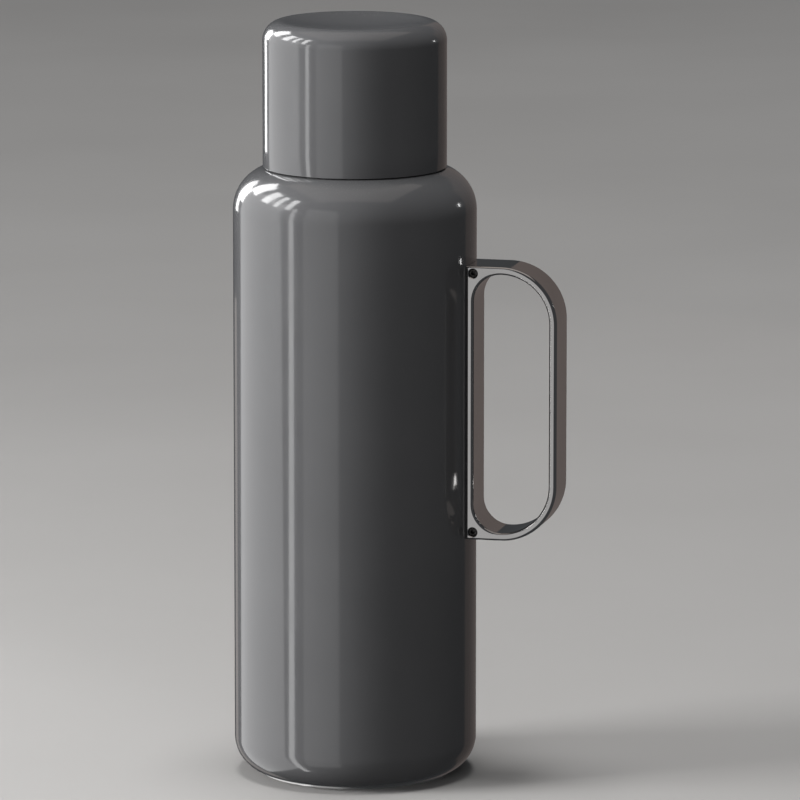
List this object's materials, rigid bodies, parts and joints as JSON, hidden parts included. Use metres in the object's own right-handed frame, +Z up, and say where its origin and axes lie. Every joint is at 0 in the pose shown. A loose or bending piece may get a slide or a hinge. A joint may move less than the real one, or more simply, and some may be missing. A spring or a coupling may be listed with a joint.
{
  "type": "insulated growler",
  "caption": "Insulated steel growler: double-wall bottle with a D-shaped side handle, a screw-on cup that closes the top and a pour-through push-button stopper.",
  "frame": {"origin": "body axis at the underside of the foot pad", "axes": "+Z up along the body axis, +X towards the handle"},
  "size_m": [0.1508, 0.11, 0.3441],
  "materials": {
    "painted_steel": "gloss",
    "bare_steel": "satin",
    "chrome": "polished",
    "copper_foil": "satin",
    "black_rubber": "matte",
    "clear_silicone": "matte",
    "black_plastic": "satin",
    "grey_plastic": "satin",
    "foam": "matte",
    "screw_steel": "satin"
  },
  "bodies": {
    "bottle": {"outer_shell": "painted_steel", "base_plate": "bare_steel", "foot_pad": "black_rubber", "vacuum_seal": "bare_steel", "getter": "bare_steel", "inner_vessel": "bare_steel", "radiation_foil": "copper_foil", "neck_collar": "black_plastic", "handle_loop": "chrome", "handle_lug_lower": "bare_steel", "handle_lug_upper": "bare_steel", "handle_screws": "screw_steel"},
    "cup_seal": {"cup_gasket": "black_rubber"},
    "cup": {"cup_shell": "painted_steel", "cup_liner": "bare_steel", "cup_thread_ring": "black_plastic"},
    "stopper_seal": {"stopper_gasket": "clear_silicone"},
    "stopper": {"stopper_plug": "black_plastic", "stopper_core": "foam", "stopper_deck": "black_plastic", "stopper_cover": "black_plastic", "valve_spring": "screw_steel"},
    "pour_valve": {"push_button": "grey_plastic", "valve_stem": "grey_plastic", "valve_seal": "clear_silicone"}
  },
  "joints": [
    {"name": "cup_rise", "type": "slide", "parent": "bottle", "child": "cup_seal", "axis": [0, 0, 1], "range_m": [0, 0.066]},
    {"name": "cup_turn", "type": "hinge", "parent": "cup_seal", "child": "cup", "pos_m": [0, 0, 0.3], "axis": [0, 0, 1], "range_deg": [0, 1980]},
    {"name": "stopper_rise", "type": "slide", "parent": "bottle", "child": "stopper_seal", "axis": [0, 0, 1], "range_m": [0, 0.014]},
    {"name": "stopper_turn", "type": "hinge", "parent": "stopper_seal", "child": "stopper", "pos_m": [0, 0, 0.3], "axis": [0, 0, 1], "range_deg": [0, 420]},
    {"name": "button_press", "type": "slide", "parent": "stopper", "child": "pour_valve", "axis": [0, 0, -1], "range_m": [0, 0.004], "stiffness_N_per_m": 450, "springref_m": -0.002, "deforming": ["valve_spring"]}
  ],
  "couplings": [
    {"joint": "cup_rise", "follows": "cup_turn", "m_per_rad": 0.0019099},
    {"joint": "stopper_rise", "follows": "stopper_turn", "m_per_rad": 0.0019099}
  ]
}
